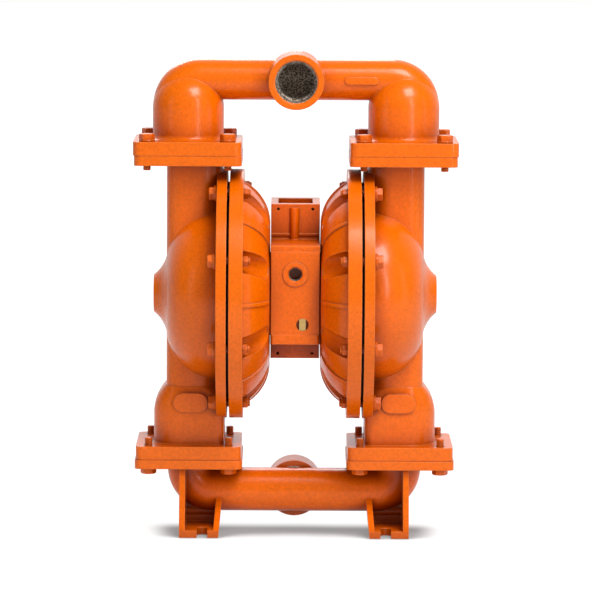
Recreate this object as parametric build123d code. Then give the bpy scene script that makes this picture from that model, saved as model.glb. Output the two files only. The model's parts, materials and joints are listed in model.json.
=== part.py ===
from build123d import *
import os
from math import cos, radians, sin, sqrt

# Air operated double diaphragm pump with a bolted metal body.
# Millimetres. The origin is on the floor under the middle of the pump, +Z is up,
# +X runs along the diaphragm shaft, and the discharge port faces -Y.
# The two wet ends are mirror images, so each function below builds the +X one.

# Heights of the main levels
inlet_tube_height = 55.6
inlet_joint_above_tube = 50.9
lower_neck = 51.3
upper_neck = 23.6
dome_center_above_joint = 63.2
discharge_tube_above_joint = 101.2

# Fits between pieces
running_gap = 0.05
slip_gap = 0.2
rest_gap = 0.3

# Diaphragm flanges, shared by the liquid and the air chambers
rim_radius = 173.2
rim_gap = 3.6
air_rim_outer_x = 90.4
air_rim_thickness = 18.9
liquid_rim_thickness = 14.0
rim_bolt_inset = 16.5
rim_bolt_count = 8
rim_bolt_radius = 6.2
bolt_hole_gap = 0.6
rim_head_flats = 17.0
rim_head_height = 7.2
rim_washer_height = 4.0
washer_height = 2.5
washer_radius = 11.0
nut_flats = 14.0
nut_height = 7.0
rim_bolt_stub = 3.0

# Stroke and the pieces that the shaft carries
shaft_radius = 11.0
stroke = 20.0
diaphragm_bead_inset = 24.0
diaphragm_flex_inset = 47.2
diaphragm_hub_thickness = 6.0
diaphragm_hub_x = 78.0
diaphragm_hub_margin = 3.0
clamp_gap = 0.1
inner_piston_radius = 62.0
inner_piston_thickness = 10.0
inner_piston_edge = 4.0
inner_piston_back_inset = 12.0
outer_piston_radius = 60.0
outer_piston_height = 27.0
outer_piston_nose_radius = 18.0
outer_piston_edge = 5.0
outer_piston_bulge = 5.0
shaft_thread_depth = 16.0

# Liquid chamber
wet_axis_x = 146.3
column_reach = 31.7
column_half_width = 45.0
column_corner = 22.0
column_inner_corner = 30.0
column_inner_reach = 46.3
column_bore_radius = 26.0
bowl_wall = 9.0
bowl_mouth_inset = 35.2
bowl_root_inset = 51.2
bowl_crown_radius = 57.0
bowl_bulge = 19.6
bowl_cavity_bulge = 17.0
boss_reach = 18.3
boss_end_radius = 26.0
boss_root_radius = 55.0
boss_bulge = 3.0
cage_half_width = 49.3
cage_inner_reach = 49.3
cage_inner_corner = 12.0
cage_outer_corner = 39.0
cage_shoulder_rise = 61.5
cage_shoulder_length = 38.0
shoulder_step = 4.0
pad_proud = 3.0
pad_width = 26.4
pad_end_reach = 21.2
pad_above_shoulder = 15.8
pad_head_gap = 1.0

# Valve balls, seats and their cages
ball_radius = 30.0
ball_lift = 14.0
ball_above_seat = 15.0
seat_radius = 43.8
seat_bore_radius = 22.0
seat_height = 14.0
seat_below_joint = 6.0
cage_bore_radius = 41.0
cage_rib_width = 8.0
cage_crown_drop = 3.0
cage_cross_height = 22.0
ball_guide_gap = 1.5
stop_gap = 0.5
seal_depth = 3.4
seal_width = 3.4
seal_rise = 1.0

# Discharge manifold
discharge_tube_radius = 28.4
discharge_bore_radius = 22.0
discharge_bend_inner = 8.0
discharge_bend_x = 133.0
discharge_axis_x = 149.1
dome_radius = 49.2
discharge_flange_thickness = 18.8
discharge_flange_half = 74.4
flange_corner = 10.0
port_radius = 28.8
port_depth = 28.0
port_chamfer = 2.0
port_bore_radius = 25.0
discharge_hub_radius = 39.5
discharge_hub_face_radius = 38.0
discharge_hub_reach = 65.0
discharge_hub_taper_end = 6.0
discharge_hub_back = 12.0
discharge_hub_back_bulge = 10.3
tube_pad_x = 90.0
tube_pad_length = 46.0
tube_pad_width = 10.0
tube_pad_proud = 2.0
column_flange_thickness = 14.0
column_flange_half = 74.0

# Inlet manifold and feet
inlet_tube_radius = 30.2
inlet_bend_inner = 1.3
inlet_bore_radius = 22.5
inlet_flange_thickness = 12.3
inlet_flange_half = 74.2
cage_flange_thickness = 18.7
cage_flange_half = 72.8
inlet_hub_radius = 39.0
inlet_hub_reach = 65.0
foot_inner_x = 104.5
foot_outer_x = 158.7
foot_half_length = 83.5
foot_thickness = 10.2
foot_slot_x = 127.0
foot_slot_width = 14.5
foot_slot_center_y = 62.0
foot_rib_thickness = 8.0
foot_inner_lean = 5.0
outer_rib_top_y = 66.0
inner_rib_foot_y = 76.0
inner_rib_top_y = 27.0
inner_rib_top_height = 50.0
foot_web_bead_radius = 7.0
root_fillet = 7.0

# Bolts of the manifold joints
joint_bolt_spacing = 111.0
joint_bolt_radius = 5.6
joint_head_flats = 19.0
discharge_head_height = 10.5
discharge_bolt_stub = 7.0
inlet_head_height = 8.4
inlet_bolt_stub = 11.0

# Air chamber
air_wall = 10.0
air_hub_radius = 94.0
air_dome_inset = 18.7
air_dome_bulge = 8.8
air_cavity_bulge = 3.3
air_mouth_inset = 37.2
air_floor_radius = 84.0
nut_pocket_radius = 16.0
scoop_angle = 42.0
scoop_length = 60.0
crest_rib_thickness = 5.0
crest_rib_proud = 1.6
gasket_thickness = 1.0
gasket_radius = 58.0
gasket_tab_start = 20.0
gasket_tab_margin = 14.0
gasket_tab_rise = 40.0
block_screw_circle = 52.0
block_screw_radius = 4.0
block_screw_head_radius = 6.5
block_screw_head_height = 6.0
block_screw_length = 20.0
block_screw_socket = 6.0
block_screw_socket_depth = 3.0

# Centre block
block_half_width = 34.0
block_front_y = -83.5
block_front_drop = 61.0
block_front_rise = 75.0
block_step_y = 10.0
block_rear_y = 115.0
block_rear_drop = 92.0
block_rear_rise = 124.0
block_core_wall = 10.0
block_core_end_wall = 15.0
block_core_depth = 32.0
block_front_corner = 4.0
block_lip_height = 13.0
block_lip_proud = 1.5
block_band_height = 8.0
block_band_setback = 2.0
block_edge_bevel = 1.5
block_ledge_rise = 5.0
block_ledge_height = 3.0
block_ledge_proud = 1.5
air_port_rise = 35.7
air_port_radius = 9.3
air_port_depth = 22.0
air_port_pad_radius = 17.0
air_port_proud = 1.5
air_port_chamfer = 1.7
plug_x = 10.2
plug_drop = 34.0
plug_radius = 8.4
plug_depth = 12.0
plug_inset = 2.0
plug_tongue_width = 9.0
plug_tongue_length = 5.0
face_screw_x = 24.0
face_screw_inset = 7.0
face_screw_radius = 2.0
face_rib_x = -1.2
face_rib_radius = 6.75
face_rib_stop = 5.0
face_screw_depth = 14.0
air_passage_radius = 7.0
air_passage_y = 58.0
air_passage_offset = 20.0

# Shaft bushings and pilot valve
bushing_radius = 16.0
bushing_length = 31.0
pilot_drop = 40.0
pilot_sleeve_radius = 10.0
pilot_radius = 6.0
pilot_ratio = 0.25
pilot_groove_x = 18.0
pilot_groove_width = 10.0
pilot_groove_depth = 1.5

# Air distribution valve on the rear of the block
valve_gasket_thickness = 1.5
valve_half_width = 30.0
valve_drop = 69.0
valve_length = 170.0
valve_depth = 48.5
valve_corner = 10.0
valve_bore_radius = 16.0
valve_spool_travel = 12.0
valve_spool_core_radius = 9.6
valve_cap_thickness = 10.0
cap_screw_head_height = 4.0
cap_screw_inset = 8.5
valve_screw_radius = 3.0
valve_screw_head_radius = 5.0
valve_screw_head_height = 5.0
valve_screw_inset_x = 6.0
valve_screw_inset_z = 12.0
valve_screw_reach = 14.0
valve_screw_tip_gap = 1.0
valve_port_boss_radius = 16.0
valve_port_boss_proud = 7.0
land_width = 16.0

# Places that follow from the sizes above
inlet_joint_height = inlet_tube_height + inlet_joint_above_tube
shaft_height = inlet_joint_height + lower_neck + rim_radius
discharge_joint_height = shaft_height + rim_radius + upper_neck
dome_center_height = discharge_joint_height + dome_center_above_joint
discharge_tube_height = discharge_joint_height + discharge_tube_above_joint
rim_bolt_circle = rim_radius - rim_bolt_inset
diaphragm_bead_radius = rim_radius - diaphragm_bead_inset
diaphragm_flex_radius = rim_radius - diaphragm_flex_inset
bowl_mouth_radius = rim_radius - bowl_mouth_inset
bowl_root_radius = rim_radius - bowl_root_inset
air_dome_reach = rim_radius - air_dome_inset
air_mouth_radius = rim_radius - air_mouth_inset
column_outer_x = wet_axis_x + column_reach
bowl_depth_x = column_outer_x - bowl_wall
boss_end_x = column_outer_x + boss_reach
cage_inner_x = wet_axis_x - cage_inner_reach
column_inner_x = wet_axis_x - column_inner_reach
cage_shoulder_height = inlet_joint_height + cage_shoulder_rise
cage_top_height = cage_shoulder_height + cage_shoulder_length
block_front_bottom = shaft_height - block_front_drop
block_front_top = shaft_height + block_front_rise
block_rear_bottom = shaft_height - block_rear_drop
block_rear_top = shaft_height + block_rear_rise
air_port_height = shaft_height + air_port_rise
plug_height = shaft_height - plug_drop
valve_bottom = shaft_height - valve_drop
valve_top = valve_bottom + valve_length
liquid_face_x = air_rim_outer_x + rim_gap
liquid_back_x = liquid_face_x + liquid_rim_thickness
air_back_x = air_rim_outer_x - air_rim_thickness
discharge_bend_radius = discharge_tube_radius + discharge_bend_inner
inlet_bend_radius = inlet_tube_radius + inlet_bend_inner
block_face_x = block_half_width + gasket_thickness
air_floor_x = block_face_x + air_wall
inner_piston_x = diaphragm_hub_x - clamp_gap
outer_piston_x = diaphragm_hub_x + diaphragm_hub_thickness + clamp_gap
shaft_end_x = outer_piston_x + shaft_thread_depth - rest_gap
seat_above_joint = seat_height - seat_below_joint
ball_guide_radius = ball_radius + ball_guide_gap
seat_pocket_radius = seat_radius + slip_gap
column_top = discharge_joint_height
joint_hole_radius = joint_bolt_radius + bolt_hole_gap
rim_hole_radius = rim_bolt_radius + bolt_hole_gap
pilot_height = shaft_height - pilot_drop
valve_face_y = block_rear_y + valve_gasket_thickness
valve_rear_y = valve_face_y + valve_depth
valve_axis_y = valve_face_y + valve_depth / 2


def rod_x(radius, start, end, y=0.0, z=0.0):
    return Pos((start + end) / 2, y, z) * Rot(0, 90, 0) * Cylinder(radius, end - start)


def rod_y(radius, start, end, x=0.0, z=0.0):
    return Pos(x, (start + end) / 2, z) * Rot(90, 0, 0) * Cylinder(radius, end - start)


def rod_z(radius, start, end, x=0.0, y=0.0):
    return Pos(x, y, (start + end) / 2) * Cylinder(radius, end - start)


def brick(x_start, x_end, y_start, y_end, z_start, z_end):
    middle = Pos((x_start + x_end) / 2, (y_start + y_end) / 2, (z_start + z_end) / 2)
    return middle * Box(x_end - x_start, y_end - y_start, z_end - z_start)


def bulged_arc(start, end, rise):
    # Arc from start to end whose middle stands proud of the chord, to its left, by rise.
    run = Vector(end[0] - start[0], end[1] - start[1])
    length = run.length
    middle = ((start[0] + end[0]) / 2 - run.Y / length * rise,
              (start[1] + end[1]) / 2 + run.X / length * rise)
    return ThreePointArc(start, middle, end)


def turned_x(outline):
    # Outline in (distance along the shaft, radius), turned about the shaft axis.
    return Pos(0, 0, shaft_height) * revolve(make_face(outline), Axis.X)


def hex_x(flats, start, end, y, z):
    prism = extrude(RegularPolygon(flats / 2, 6, major_radius=False), end - start)
    return Pos(start, y, z) * Rot(0, 90, 0) * prism


def hex_z(flats, start, end, x, y):
    prism = extrude(RegularPolygon(flats / 2, 6, major_radius=False), end - start)
    return Pos(x, y, start) * prism


def square_flange(half, start, end, x):
    plate = extrude(RectangleRounded(2 * half, 2 * half, flange_corner), end - start)
    return Pos(x, 0, start) * plate


def domed_post(radius, start, dome_height, x):
    # Upright post with a hemispherical top whose centre is at dome_height.
    dome = ThreePointArc((radius, dome_height),
                         (radius * sqrt(0.5), dome_height + radius * sqrt(0.5)),
                         (0, dome_height + radius))
    sides = Polyline((0, dome_height + radius), (0, start), (radius, start),
                     (radius, dome_height))
    return Pos(x, 0, 0) * revolve(make_face(Plane.XZ * (dome + sides)), Axis.Z)


def flare(radius, face_height, rise, x):
    # Concave fillet ring between a vertical tube and a flange face.
    size = abs(rise)
    arc = ThreePointArc(
        (radius + size, face_height),
        (radius + size * (1 - sqrt(0.5)), face_height + rise * (1 - sqrt(0.5))),
        (radius, face_height + rise),
    )
    inside = radius - size
    edges = Polyline((radius, face_height + rise), (inside, face_height + rise),
                     (inside, face_height), (radius + size, face_height))
    return Pos(x, 0, 0) * revolve(make_face(Plane.XZ * (arc + edges)), Axis.Z)


def rim_bolt_places():
    for index in range(rim_bolt_count):
        angle = radians((index + 0.5) * 360 / rim_bolt_count)
        yield rim_bolt_circle * sin(angle), shaft_height + rim_bolt_circle * cos(angle)


def joint_bolt_places(x):
    half = joint_bolt_spacing / 2
    return [(x + sx * half, sy * half) for sx in (-1, 1) for sy in (-1, 1)]


def block_screw_places():
    reach = block_screw_circle * sqrt(0.5)
    return [(sy * reach, shaft_height + sz * reach) for sy in (-1, 1) for sz in (-1, 1)]


def cage_cavity(joint_height, x, dome_height):
    # Room for one valve ball: four flow lanes between guide ribs that cross above it.
    seat_top = joint_height + seat_above_joint
    rest_center = seat_top + ball_above_seat
    guide_center = rest_center + ball_lift + ball_radius + stop_gap - ball_guide_radius
    lanes = domed_post(cage_bore_radius, seat_top, dome_height, x)
    top = dome_height + cage_bore_radius
    half_rib = cage_rib_width / 2
    reach = cage_bore_radius + 1
    lanes -= brick(x - reach, x + reach, -half_rib, half_rib, seat_top - 1, top + 1)
    lanes -= brick(x - half_rib, x + half_rib, -reach, reach, seat_top - 1, top + 1)
    return lanes + domed_post(ball_guide_radius, seat_top, guide_center, x)


def bend(radius, center_x, center_height, start_x, start_height, start_normal):
    disc = Plane((start_x, 0, start_height), x_dir=(0, 1, 0), z_dir=start_normal) * Circle(radius)
    return revolve(disc, Axis((center_x, 0, center_height), (0, 1, 0)), 90)


def discharge_bend(radius):
    center_height = discharge_tube_height - discharge_bend_radius
    return bend(radius, discharge_bend_x, center_height,
                discharge_bend_x, discharge_tube_height, (1, 0, 0))


def inlet_bend(radius):
    turn_x = wet_axis_x - inlet_bend_radius
    turn_height = inlet_tube_height + inlet_bend_radius
    elbow = bend(radius, turn_x, turn_height, wet_axis_x, turn_height, (0, 0, 1))
    return elbow + rod_z(radius, turn_height, inlet_joint_height, wet_axis_x)


def both_sides(right):
    return right + mirror(right, about=Plane.YZ)


def discharge_hub():
    # Port boss, tapered to its face, with a rounded back that fades into the tube.
    back_y = discharge_tube_radius + tube_pad_proud
    widest = (discharge_hub_radius, -discharge_hub_taper_end)
    back = (discharge_hub_back, back_y)
    flank = Polyline((0, -discharge_hub_reach), (discharge_hub_face_radius, -discharge_hub_reach),
                     widest)
    end = Polyline(back, (0, back_y), (0, -discharge_hub_reach))
    face = make_face(flank + bulged_arc(widest, back, -discharge_hub_back_bulge) + end)
    return Pos(0, 0, discharge_tube_height) * revolve(face, Axis.Y)


def discharge_manifold():
    joint = discharge_joint_height
    flange_top = joint + discharge_flange_thickness
    x = discharge_axis_x
    end = square_flange(discharge_flange_half, joint, flange_top, x)
    end += domed_post(dome_radius, joint, dome_center_height, x)
    end += flare(dome_radius, flange_top, root_fillet, x)
    end += discharge_bend(discharge_tube_radius)
    body = both_sides(end)
    body += rod_x(discharge_tube_radius, -discharge_bend_x, discharge_bend_x,
                  z=discharge_tube_height)
    body += discharge_hub()
    pad = extrude(SlotOverall(tube_pad_length, tube_pad_width),
                  discharge_tube_radius + tube_pad_proud)
    body += Pos(tube_pad_x, 0, discharge_tube_height) * Rot(90, 0, 0) * pad

    room = cage_cavity(joint, x, dome_center_height)
    room += rod_z(seat_pocket_radius, joint, joint + seat_above_joint, x)
    room += discharge_bend(discharge_bore_radius)
    for bolt_x, bolt_y in joint_bolt_places(x):
        room += rod_z(joint_hole_radius, joint, flange_top, bolt_x, bolt_y)
    body -= room
    body -= mirror(room, about=Plane.YZ)
    body -= rod_x(discharge_bore_radius, -discharge_bend_x, discharge_bend_x,
                  z=discharge_tube_height)
    body -= port_cut(-discharge_hub_reach, discharge_tube_height)
    return body


def port_cut(face_y, height):
    # A threaded pipe port with a chamfered mouth, opening into a tube along X.
    out = 1 if face_y > 0 else -1
    inner = face_y - out * port_depth
    cut = rod_y(port_radius, min(face_y, inner), max(face_y, inner), z=height)
    cut += rod_y(port_bore_radius, min(inner, 0), max(inner, 0), z=height)
    mouth = Cone(port_radius, port_radius + port_chamfer, port_chamfer,
                 align=(Align.CENTER, Align.CENTER, Align.MAX))
    cut += Pos(0, face_y, height) * Rot(-90 * out, 0, 0) * mouth
    return cut


def foot():
    lean = foot_inner_lean * foot_thickness / inlet_tube_height
    profile = Polyline(
        (foot_inner_x, 0), (foot_outer_x, 0), (foot_outer_x, foot_thickness),
        (foot_inner_x - lean, foot_thickness), close=True)
    plate = extrude(make_face(Plane.XZ * profile), foot_half_length, both=True)
    for side in (-1, 1):
        slot = rod_z(foot_slot_width / 2, 0, foot_thickness, foot_slot_x,
                     side * foot_slot_center_y)
        start, end = sorted((side * foot_slot_center_y, side * foot_half_length))
        slot += brick(foot_slot_x - foot_slot_width / 2, foot_slot_x + foot_slot_width / 2,
                      start, end, 0, foot_thickness)
        plate -= slot
    return plate


def foot_ribs():
    # A wall flush with the outer edge, a gusset by the inner edge and a web between them.
    flange_under = inlet_joint_height - inlet_flange_thickness
    wall = Polyline((-foot_half_length, foot_thickness), (foot_half_length, foot_thickness),
                    (outer_rib_top_y, flange_under), (-outer_rib_top_y, flange_under),
                    close=True)
    start = Plane((foot_outer_x - foot_rib_thickness, 0, 0), x_dir=(0, 1, 0), z_dir=(1, 0, 0))
    ribs = extrude(make_face(start * wall), foot_rib_thickness)
    gusset = Polyline((-inner_rib_foot_y, foot_thickness), (inner_rib_foot_y, foot_thickness),
                      (inner_rib_top_y, inner_rib_top_height),
                      (-inner_rib_top_y, inner_rib_top_height), close=True)
    inner_x = foot_inner_x - foot_inner_lean
    start = Plane((inner_x, 0, 0), x_dir=(0, 1, 0), z_dir=(1, 0, 0))
    slab = extrude(make_face(start * gusset), foot_rib_thickness + foot_inner_lean)
    lean = Polyline((inner_x, inlet_tube_height), (foot_inner_x, 0),
                    (foot_inner_x + foot_rib_thickness, 0),
                    (inner_x + foot_rib_thickness, inlet_tube_height), close=True)
    ribs += slab & extrude(make_face(Plane.XZ * lean), foot_half_length, both=True)
    half = foot_rib_thickness / 2
    web_end = foot_outer_x - half
    ribs += brick(foot_inner_x, web_end, -half, half, foot_thickness, inlet_tube_height)
    bead_height = inlet_tube_height - inlet_tube_radius
    ribs += rod_x(foot_web_bead_radius, foot_inner_x, web_end, z=bead_height)
    return ribs


def inlet_manifold():
    joint = inlet_joint_height
    flange_under = joint - inlet_flange_thickness
    x = wet_axis_x
    end = square_flange(inlet_flange_half, flange_under, joint, x)
    end += inlet_bend(inlet_tube_radius)
    end += flare(inlet_tube_radius, flange_under, -root_fillet, x)
    end += foot() + foot_ribs()
    straight = x - inlet_bend_radius
    body = both_sides(end)
    body += rod_x(inlet_tube_radius, -straight, straight, z=inlet_tube_height)
    body += rod_y(inlet_hub_radius, block_step_y, inlet_hub_reach, z=inlet_tube_height)

    room = inlet_bend(inlet_bore_radius)
    room += rod_z(seat_pocket_radius, joint - seat_below_joint, joint, x)
    for bolt_x, bolt_y in joint_bolt_places(x):
        room += rod_z(joint_hole_radius, flange_under, joint, bolt_x, bolt_y)
    body -= room
    body -= mirror(room, about=Plane.YZ)
    body -= rod_x(inlet_bore_radius, -straight, straight, z=inlet_tube_height)
    body -= port_cut(inlet_hub_reach, inlet_tube_height)
    return body


def rounded_section(inner_x, outer_x, half_width, inner_corner, outer_corner, height):
    # Section of the upright casting: large corners outside, small ones by the flange.
    outline = Polyline((inner_x, -half_width), (outer_x, -half_width),
                       (outer_x, half_width), (inner_x, half_width), close=True)
    face = make_face(outline)
    outer = [v for v in face.vertices() if v.X > (inner_x + outer_x) / 2]
    face = fillet(outer, outer_corner)
    inner = [v for v in face.vertices() if v.X < inner_x + 1e-3]
    return Pos(0, 0, height) * fillet(inner, inner_corner)


def bowl_outline():
    root = (liquid_back_x, bowl_root_radius)
    crown = (column_outer_x, bowl_crown_radius)
    boss_root = (column_outer_x, boss_root_radius)
    boss_end = (boss_end_x, boss_end_radius)
    rim = Polyline((liquid_face_x, 0), (liquid_face_x, rim_radius), (liquid_back_x, rim_radius),
                   root)
    flank = bulged_arc(boss_root, boss_end, -boss_bulge)
    end = Polyline(boss_end, (boss_end_x, 0), (liquid_face_x, 0))
    return rim + bulged_arc(root, crown, bowl_bulge) + Line(crown, boss_root) + flank + end


def bowl_cavity():
    mouth = (liquid_face_x, bowl_mouth_radius)
    throat = (liquid_back_x, bowl_root_radius - bowl_wall)
    floor_edge = (bowl_depth_x, bowl_crown_radius - bowl_wall / 2)
    edges = Polyline(floor_edge, (bowl_depth_x, 0), (liquid_face_x, 0), mouth, throat)
    return turned_x(bulged_arc(throat, floor_edge, bowl_cavity_bulge) + edges)


def liquid_chamber():
    top_flange_under = column_top - column_flange_thickness
    cage_flange_top = inlet_joint_height + cage_flange_thickness
    body = turned_x(bowl_outline())
    column = rounded_section(column_inner_x, column_outer_x, column_half_width,
                             column_inner_corner, column_corner, 0)
    body += Pos(0, 0, cage_shoulder_height) * extrude(column, column_top - cage_shoulder_height)
    body += square_flange(column_flange_half, top_flange_under, column_top, discharge_axis_x - 1)
    outer_x = wet_axis_x + cage_half_width
    cage = rounded_section(cage_inner_x, outer_x, cage_half_width, cage_inner_corner,
                           cage_outer_corner, 0)
    body += Pos(0, 0, inlet_joint_height) * extrude(
        cage, cage_shoulder_height - inlet_joint_height)
    body += loft([
        rounded_section(cage_inner_x, outer_x, cage_half_width, cage_inner_corner,
                        cage_outer_corner, cage_shoulder_height),
        rounded_section(cage_inner_x + 1, outer_x - shoulder_step, cage_half_width - 1,
                        cage_inner_corner - 1, cage_outer_corner - shoulder_step,
                        cage_shoulder_height + cage_shoulder_length / 2),
        rounded_section(column_inner_x, column_outer_x + 1, column_half_width + 0.5,
                        column_inner_corner + 1, column_corner, cage_top_height),
    ])
    body += square_flange(cage_flange_half, inlet_joint_height, cage_flange_top, wet_axis_x)
    pad_start = liquid_back_x + rim_washer_height + rim_head_height + pad_head_gap
    pad_end = wet_axis_x + pad_end_reach
    pad = extrude(SlotOverall(pad_end - pad_start, pad_width), cage_half_width + pad_proud)
    pad_place = Pos((pad_start + pad_end) / 2, 0, cage_shoulder_height + pad_above_shoulder)
    body += pad_place * Rot(90, 0, 0) * pad

    body -= bowl_cavity()
    body -= cage_cavity(inlet_joint_height, wet_axis_x, cage_shoulder_height - cage_crown_drop)
    body -= rod_z(seat_pocket_radius, inlet_joint_height,
                  inlet_joint_height + seat_above_joint, wet_axis_x)
    body -= rod_z(column_bore_radius, cage_top_height - cage_cross_height, column_top, wet_axis_x)
    body -= rod_z(seat_pocket_radius, column_top - seat_below_joint, column_top,
                  discharge_axis_x)
    for y, z in rim_bolt_places():
        body -= rod_x(rim_hole_radius, liquid_face_x, liquid_back_x, y, z)
    for bolt_x, bolt_y in joint_bolt_places(discharge_axis_x):
        body -= rod_z(joint_hole_radius, top_flange_under, column_top, bolt_x, bolt_y)
    for bolt_x, bolt_y in joint_bolt_places(wet_axis_x):
        body -= rod_z(joint_hole_radius, inlet_joint_height, cage_flange_top, bolt_x, bolt_y)
    return body


def air_dome_outline(proud):
    # The dome between the block face and the rim, or a skin that stands proud of it.
    foot = (block_face_x, air_hub_radius + proud)
    shoulder = (air_back_x, air_dome_reach + proud)
    edges = Polyline(shoulder, (air_back_x, 0), (block_face_x, 0), foot)
    return bulged_arc(foot, shoulder, air_dome_bulge + proud) + edges


def air_cavity():
    foot = (air_floor_x, air_floor_radius)
    shoulder = (air_back_x + air_wall, air_mouth_radius)
    edges = Polyline(shoulder, (air_rim_outer_x, air_mouth_radius), (air_rim_outer_x, 0),
                     (air_floor_x, 0), foot)
    return turned_x(bulged_arc(foot, shoulder, air_cavity_bulge) + edges)


def nut_scoops():
    # Hollows that run down the dome from each nut, so that a spanner reaches it.
    scoop = Cylinder(nut_pocket_radius, scoop_length,
                     align=(Align.CENTER, Align.CENTER, Align.MIN))
    for index in range(rim_bolt_count):
        turn = Rot((index + 0.5) * 360 / rim_bolt_count, 0, 0)
        tilt = Pos(air_back_x, 0, rim_bolt_circle) * Rot(0, -90 - scoop_angle, 0)
        yield Pos(0, 0, shaft_height) * turn * tilt * scoop


def air_chamber(side):
    body = turned_x(air_dome_outline(0))
    ribs = turned_x(air_dome_outline(crest_rib_proud))
    ribs -= rod_x(air_floor_radius, 0, air_rim_outer_x, z=shaft_height)
    spokes = []
    for index in range(rim_bolt_count):
        spoke = brick(0, air_rim_outer_x, -crest_rib_thickness / 2, crest_rib_thickness / 2,
                      0, rim_radius)
        turn = Rot(360 * index / rim_bolt_count, 0, 0)
        spokes.append(Pos(0, 0, shaft_height) * turn * spoke)
    for spoke in spokes:
        body += ribs & spoke
    for scoop in nut_scoops():
        body -= scoop
    body += rod_x(rim_radius, air_back_x, air_rim_outer_x, z=shaft_height)
    for y, z in rim_bolt_places():
        body -= rod_x(nut_pocket_radius, 0, air_back_x, y, z)
        body -= rod_x(rim_hole_radius, air_back_x, air_rim_outer_x, y, z)
    body -= air_cavity()
    body -= rod_x(bushing_radius + running_gap, block_face_x, air_floor_x, z=shaft_height)
    body -= rod_x(pilot_sleeve_radius + running_gap, block_face_x, air_floor_x, z=pilot_height)
    body -= rod_x(air_passage_radius, block_face_x, air_floor_x, air_passage_y,
                  shaft_height + side * air_passage_offset)
    for y, z in block_screw_places():
        body -= rod_x(block_screw_radius + slip_gap, block_face_x, air_floor_x, y, z)
        body -= rod_x(block_screw_head_radius + slip_gap, air_floor_x - block_screw_head_height,
                      air_floor_x, y, z)
    return body


def air_chamber_gasket(side):
    sheet = rod_x(gasket_radius, block_half_width, block_face_x, z=shaft_height)
    sheet += brick(block_half_width, block_face_x, gasket_tab_start,
                   air_passage_y + gasket_tab_margin,
                   shaft_height - gasket_tab_rise, shaft_height + gasket_tab_rise)
    sheet -= rod_x(bushing_radius + running_gap, block_half_width, block_face_x, z=shaft_height)
    sheet -= rod_x(pilot_sleeve_radius + running_gap, block_half_width, block_face_x,
                   z=pilot_height)
    sheet -= rod_x(air_passage_radius, block_half_width, block_face_x, air_passage_y,
                   shaft_height + side * air_passage_offset)
    for y, z in block_screw_places():
        sheet -= rod_x(block_screw_radius + slip_gap, block_half_width, block_face_x, y, z)
    return sheet


def air_chamber_screws():
    tip_x = air_floor_x - block_screw_head_height - block_screw_length
    screws = []
    for y, z in block_screw_places():
        screw = rod_x(block_screw_radius, tip_x, air_floor_x, y, z)
        screw += rod_x(block_screw_head_radius, air_floor_x - block_screw_head_height,
                       air_floor_x, y, z)
        screw -= hex_x(block_screw_socket, air_floor_x - block_screw_socket_depth,
                       air_floor_x, y, z)
        screws.append(screw)
    return Compound(children=screws)


def block_front():
    # Front half: a lip along its foot, a band along its top that is set back, soft corners.
    lip_y = block_front_y - block_lip_proud
    lip_top = block_front_bottom + block_lip_height
    band_y = block_front_y + block_band_setback
    band_bottom = block_front_top - block_band_height
    profile = Polyline(
        (block_step_y, block_front_bottom), (lip_y, block_front_bottom), (lip_y, lip_top),
        (block_front_y, lip_top + block_lip_proud),
        (block_front_y, band_bottom - block_edge_bevel), (band_y, band_bottom),
        (band_y, block_front_top - block_edge_bevel),
        (band_y + block_edge_bevel, block_front_top), (block_step_y, block_front_top),
        close=True)
    slab = extrude(make_face(Plane.YZ * profile), block_half_width, both=True)
    length = block_step_y - lip_y + block_front_corner
    plan = RectangleRounded(2 * block_half_width, length, block_front_corner)
    prism = extrude(plan, block_front_top - block_front_bottom)
    return slab & (Pos(0, lip_y + length / 2, block_front_bottom) * prism)


def center_block():
    body = block_front()
    body += brick(-block_half_width, block_half_width, block_step_y, block_rear_y,
                  block_rear_bottom, block_rear_top)
    ledge_bottom = block_front_top + block_ledge_rise
    body += brick(-block_half_width, block_half_width, block_step_y - block_ledge_proud,
                  block_step_y, ledge_bottom, ledge_bottom + block_ledge_height)
    port_face = block_front_y - air_port_proud
    body += rod_y(air_port_pad_radius, port_face, block_step_y, z=air_port_height)
    body += rod_z(face_rib_radius, block_front_top - 1, block_rear_top - face_rib_stop,
                  face_rib_x, block_step_y)
    wall = block_core_wall
    body -= brick(-block_half_width + wall, block_half_width - wall,
                  block_step_y + block_core_end_wall, block_rear_y - block_core_end_wall,
                  block_rear_top - block_core_depth, block_rear_top)
    body -= rod_x(bushing_radius + running_gap, -block_half_width, block_half_width,
                  z=shaft_height)
    body -= rod_x(pilot_sleeve_radius + running_gap, -block_half_width, block_half_width,
                  z=pilot_height)
    body -= rod_y(air_port_radius, port_face, port_face + air_port_depth, z=air_port_height)
    body -= Pos(0, port_face, air_port_height) * Rot(90, 0, 0) * Cone(
        air_port_radius, air_port_radius + air_port_chamfer, air_port_chamfer,
        align=(Align.CENTER, Align.CENTER, Align.MAX))
    body -= rod_y(plug_radius + slip_gap, block_front_y, block_front_y + plug_depth, plug_x,
                  plug_height)
    for x in (-face_screw_x, face_screw_x):
        for z in (block_rear_bottom + face_screw_inset, block_rear_top - face_screw_inset):
            body -= rod_y(face_screw_radius, block_step_y, block_step_y + face_screw_depth, x, z)
    thread_x = air_floor_x - block_screw_head_height - block_screw_length
    for y, z in block_screw_places():
        for side in (-1, 1):
            start, end = sorted((side * thread_x, side * block_half_width))
            body -= rod_x(block_screw_radius, start, end, y, z)
    for side in (-1, 1):
        z = shaft_height + side * air_passage_offset
        start, end = sorted((0, side * block_half_width))
        body -= rod_x(air_passage_radius, start, end, air_passage_y, z)
        body -= rod_y(air_passage_radius, air_passage_y, block_rear_y, z=z)
    for x, z in valve_mount_places():
        body -= rod_y(valve_screw_radius, block_rear_y - valve_screw_reach - valve_screw_tip_gap,
                      block_rear_y, x, z)
    return body


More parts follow.
